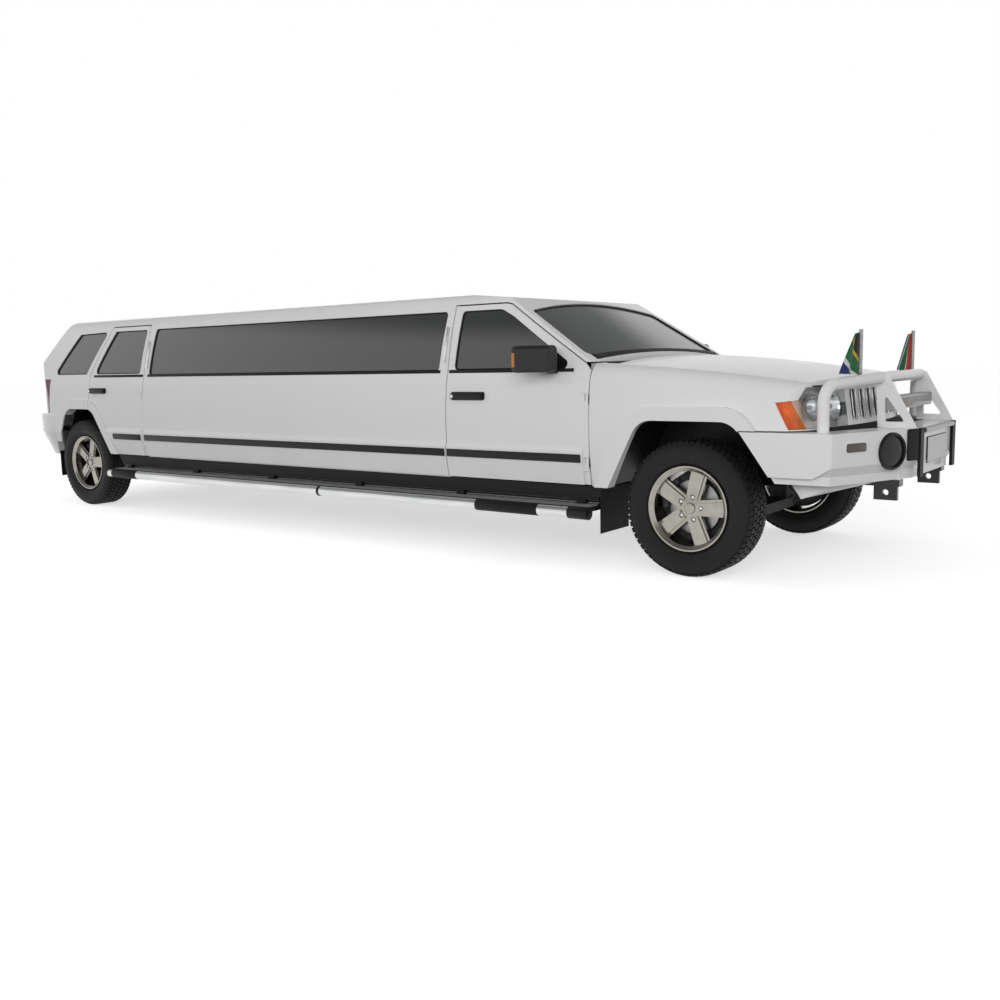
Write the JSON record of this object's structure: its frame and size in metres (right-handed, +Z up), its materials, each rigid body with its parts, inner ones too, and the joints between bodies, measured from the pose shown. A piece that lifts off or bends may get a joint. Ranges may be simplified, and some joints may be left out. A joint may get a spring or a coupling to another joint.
{
  "type": "stretch limousine",
  "caption": "Long white stretched sport-utility limousine with dark glass, side steps, alloy wheels and a steel bull bar; doors, bonnet, tailgate, steering and wheels move.",
  "frame": {"origin": "on the ground below the middle of the overall box", "axes": "+X forward, +Y to the vehicle's left, +Z up"},
  "size_m": [7.9118, 2.24, 1.632],
  "materials": {
    "paint_white": "glossy white body paint",
    "dark_paint": "satin black underbody paint",
    "tinted_glass": "very dark tinted glass",
    "lamp_glass": "clear lamp lens",
    "lamp_red": "dark red lamp lens",
    "alloy": "polished alloy",
    "chrome": "polished tube",
    "steel": "bare steel",
    "cast_metal": "dark castings",
    "tyre": "black rubber with road tread",
    "black_plastic": "black grained plastic",
    "black_rubber": "black rubber",
    "seat_leather": "dark leather",
    "flag_cloth": "thin banded flag cloth"
  },
  "bodies": {
    "body": {"bar_buffers": "black_rubber", "bar_hoops": "paint_white", "bull_bar": "paint_white", "chassis_frame": "dark_paint", "dashboard": "black_plastic", "driving_lamps": "lamp_glass", "engine": "cast_metal", "fender_left": "paint_white", "fender_right": "paint_white", "fixed_windows": "tinted_glass", "flag_staffs": "steel", "flags": "flag_cloth", "front_seats": "seat_leather", "front_suspension": "cast_metal", "grille": "paint_white", "headlamps": "lamp_glass", "light_bar": "steel", "lounge_seats": "seat_leather", "mudflaps": "black_rubber", "plate_rail": "steel", "quarter_left": "paint_white", "quarter_right": "paint_white", "radiator": "cast_metal", "rear_axle": "cast_metal", "rear_bumper": "paint_white", "roof": "paint_white", "side_panel_left": "paint_white", "side_panel_right": "paint_white", "step_boards": "black_plastic", "step_tubes": "chrome", "tail_lamps": "lamp_red", "underbody": "dark_paint", "wheel_liners": "black_plastic", "windscreen": "tinted_glass"},
    "wheel_front_left": {"rim_front_left": "alloy", "tyre_front_left": "tyre"},
    "wheel_front_right": {"rim_front_right": "alloy", "tyre_front_right": "tyre"},
    "wheel_rear_left": {"rim_rear_left": "alloy", "tyre_rear_left": "tyre"},
    "wheel_rear_right": {"rim_rear_right": "alloy", "tyre_rear_right": "tyre"},
    "steer_left": {"knuckle_left": "cast_metal"},
    "steer_right": {"knuckle_right": "cast_metal"},
    "door_front_left": {"door_front_left": "paint_white", "window_front_left": "tinted_glass", "mirror_left": "black_plastic"},
    "door_front_right": {"door_front_right": "paint_white", "window_front_right": "tinted_glass", "mirror_right": "black_plastic"},
    "door_rear_left": {"door_rear_left": "paint_white", "window_rear_left": "tinted_glass"},
    "door_rear_right": {"door_rear_right": "paint_white", "window_rear_right": "tinted_glass"},
    "hood": {"hood": "paint_white"},
    "tailgate": {"tailgate": "paint_white", "tailgate_window": "tinted_glass"}
  },
  "joints": [
    {"name": "steer_left", "type": "hinge", "parent": "body", "child": "steer_left", "pos_m": [2.894, 0.7, 0.375], "axis": [0, 0, 1], "range_deg": [-32, 32]},
    {"name": "spin_front_left", "type": "hinge", "parent": "steer_left", "child": "wheel_front_left", "pos_m": [2.894, 0.795, 0.375], "axis": [0, 1, 0], "continuous": true},
    {"name": "spin_rear_left", "type": "hinge", "parent": "body", "child": "wheel_rear_left", "pos_m": [-2.935, 0.795, 0.375], "axis": [0, 1, 0], "continuous": true},
    {"name": "door_front_left", "type": "hinge", "parent": "body", "child": "door_front_left", "pos_m": [2.273, 0.908, 0.78], "axis": [0, 0, -1], "range_deg": [0, 65]},
    {"name": "door_rear_left", "type": "hinge", "parent": "body", "child": "door_rear_left", "pos_m": [-2.027, 0.908, 0.78], "axis": [0, 0, -1], "range_deg": [0, 65]},
    {"name": "steer_right", "type": "hinge", "parent": "body", "child": "steer_right", "pos_m": [2.894, -0.7, 0.375], "axis": [0, 0, 1], "range_deg": [-32, 32]},
    {"name": "spin_front_right", "type": "hinge", "parent": "steer_right", "child": "wheel_front_right", "pos_m": [2.894, -0.795, 0.375], "axis": [0, 1, 0], "continuous": true},
    {"name": "spin_rear_right", "type": "hinge", "parent": "body", "child": "wheel_rear_right", "pos_m": [-2.935, -0.795, 0.375], "axis": [0, 1, 0], "continuous": true},
    {"name": "door_front_right", "type": "hinge", "parent": "body", "child": "door_front_right", "pos_m": [2.273, -0.908, 0.78], "axis": [0, 0, 1], "range_deg": [0, 65]},
    {"name": "door_rear_right", "type": "hinge", "parent": "body", "child": "door_rear_right", "pos_m": [-2.027, -0.908, 0.78], "axis": [0, 0, 1], "range_deg": [0, 65]},
    {"name": "hood", "type": "hinge", "parent": "body", "child": "hood", "pos_m": [2.432, 0, 1.118], "axis": [0, -1, 0], "range_deg": [0, 45]},
    {"name": "tailgate", "type": "hinge", "parent": "body", "child": "tailgate", "pos_m": [-3.3321, 0, 1.48181], "axis": [0, 1, 0], "range_deg": [0, 75]}
  ],
  "couplings": [
    {"joint": "steer_right", "follows": "steer_left", "ratio": 1}
  ]
}
